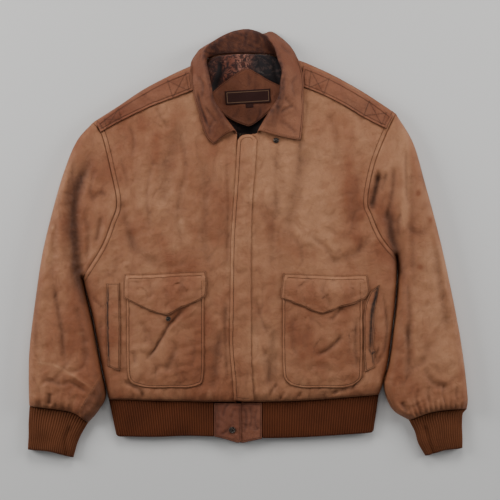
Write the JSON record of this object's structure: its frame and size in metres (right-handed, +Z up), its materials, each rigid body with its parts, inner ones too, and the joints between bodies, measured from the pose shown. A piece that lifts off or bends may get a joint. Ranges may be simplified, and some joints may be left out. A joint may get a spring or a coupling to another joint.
{
  "type": "leather flight jacket",
  "caption": "Worn brown leather flight jacket laid flat on its back: shirt collar, zip under a wind flap, flapped patch pockets, shoulder straps, rib-knit cuffs and hem.",
  "frame": {"origin": "Centre of the jacket's box on the surface it lies on.", "axes": "+X to the wearer's left, +Y to the collar, +Z up from the surface. The jacket lies on its back."},
  "size_m": [0.8354, 0.8126, 0.0601],
  "materials": {
    "leather": "worn mid-brown cowhide, creased, rubbed pale on the folds",
    "facing_leather": "smoother reddish-brown leather facing",
    "knit": "dark brown rib-knit wool",
    "lining": "dark printed satin lining",
    "woven_label": "dark brown woven label, bare",
    "zip_tape": "zip tapes with a dull metal chain",
    "snap_metal": "blackened press-stud caps, worn on the rim"
  },
  "bodies": {
    "root": {"back_panel": "leather", "front_right": "leather", "front_left": "leather", "sleeve_right": "leather", "sleeve_left": "leather", "collar": "leather", "wind_flap": "leather", "pocket_right": "leather", "pocket_left": "leather", "pocket_flap_right": "leather", "pocket_flap_left": "leather", "welt_right": "leather", "welt_left": "leather", "shoulder_strap_right": "leather", "shoulder_strap_left": "leather", "hem_tab_right": "leather", "hem_tab_left": "leather", "neck_facing": "facing_leather", "cuff_right": "knit", "cuff_left": "knit", "waistband": "knit", "back_lining": "lining", "label": "woven_label", "size_tab": "woven_label", "zip": "zip_tape", "snap_hem": "snap_metal", "snap_collar": "snap_metal", "snap_pocket_right": "snap_metal"}
  },
  "joints": []
}
